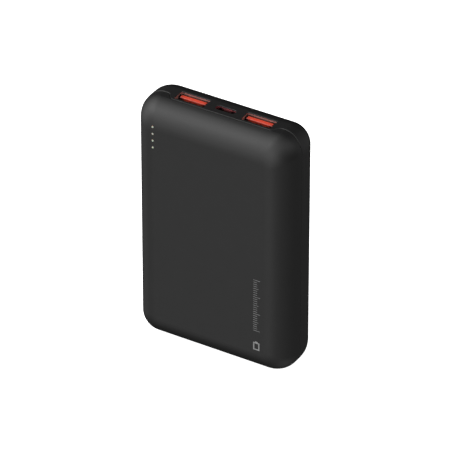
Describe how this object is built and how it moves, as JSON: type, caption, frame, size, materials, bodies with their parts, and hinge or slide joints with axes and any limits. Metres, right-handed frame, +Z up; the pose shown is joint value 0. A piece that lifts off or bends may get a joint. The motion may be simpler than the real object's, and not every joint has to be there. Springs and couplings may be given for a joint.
{
  "type": "power bank",
  "caption": "Slim rounded pocket power bank with USB-A and USB-C ports in its end, a row of small charge lights and a side push button.",
  "frame": {"origin": "middle of the foot, the end away from the ports, on the surface it stands on", "axes": "+X to the right seen from the face with the lights, +Y towards the back, +Z up towards the port end"},
  "size_m": [0.0667, 0.0244, 0.1032],
  "materials": {
    "soft_touch_black": "fine-textured soft-touch coating",
    "button_black": "satin",
    "black_nylon": "matt",
    "white_nylon": "matt",
    "clear_acrylic": "diffusing",
    "led_package": "satin",
    "green_laminate": "solder mask",
    "black_steel": "black zinc",
    "nickel_steel": "nickel plated",
    "plated_steel": "nickel plated",
    "orange_plastic": "satin",
    "gold_plate": "gold plated",
    "ferrite": "matt grey ferrite",
    "enamelled_copper": "enamelled copper",
    "chip_epoxy": "moulded epoxy",
    "ceramic_tan": "ceramic with tinned ends",
    "resistor_black": "glazed with tinned ends",
    "pouch_foil": "laminated foil",
    "nickel_strip": "nickel",
    "grey_foam": "closed-cell foam",
    "amber_tape": "polyimide film",
    "red_silicone": "silicone",
    "black_silicone": "silicone",
    "sensor_epoxy": "dipped epoxy"
  },
  "bodies": {
    "case": {"front_cover": "soft_touch_black", "rear_shell": "soft_touch_black", "switch_body": "black_nylon", "switch_cover": "nickel_steel", "light_guide": "clear_acrylic", "light_shield": "black_nylon", "indicator_leds": "led_package", "main_board": "green_laminate", "board_screws": "black_steel", "usb_a_left_shell": "plated_steel", "usb_a_left_insulator": "orange_plastic", "usb_a_left_contacts": "gold_plate", "usb_a_right_shell": "plated_steel", "usb_a_right_insulator": "orange_plastic", "usb_a_right_contacts": "gold_plate", "usb_c_shell": "plated_steel", "usb_c_insulator": "orange_plastic", "usb_c_contacts": "gold_plate", "inductor_core": "ferrite", "inductor_winding": "enamelled_copper", "inductor_shield": "ferrite", "charge_controller": "chip_epoxy", "power_mosfets": "chip_epoxy", "chip_capacitors": "ceramic_tan", "chip_resistors": "resistor_black", "front_cell": "pouch_foil", "rear_cell": "pouch_foil", "cell_tabs": "nickel_strip", "bus_strips": "nickel_strip", "centre_foam": "grey_foam", "front_foam_pad": "grey_foam", "rear_foam_pad": "grey_foam", "stack_tape": "amber_tape", "positive_lead": "red_silicone", "negative_lead": "black_silicone", "cell_thermistor": "sensor_epoxy"},
    "button": {"power_button": "button_black"},
    "plunger": {"switch_plunger": "white_nylon"}
  },
  "joints": [
    {"name": "button_press", "type": "slide", "parent": "case", "child": "button", "axis": [1, 0, 0], "range_m": [0, 0.0003], "stiffness_N_per_m": 1000, "springref_m": -0.0006},
    {"name": "plunger_press", "type": "slide", "parent": "case", "child": "plunger", "axis": [1, 0, 0], "range_m": [0, 0.0003]}
  ],
  "couplings": [
    {"joint": "plunger_press", "follows": "button_press", "ratio": 1}
  ]
}
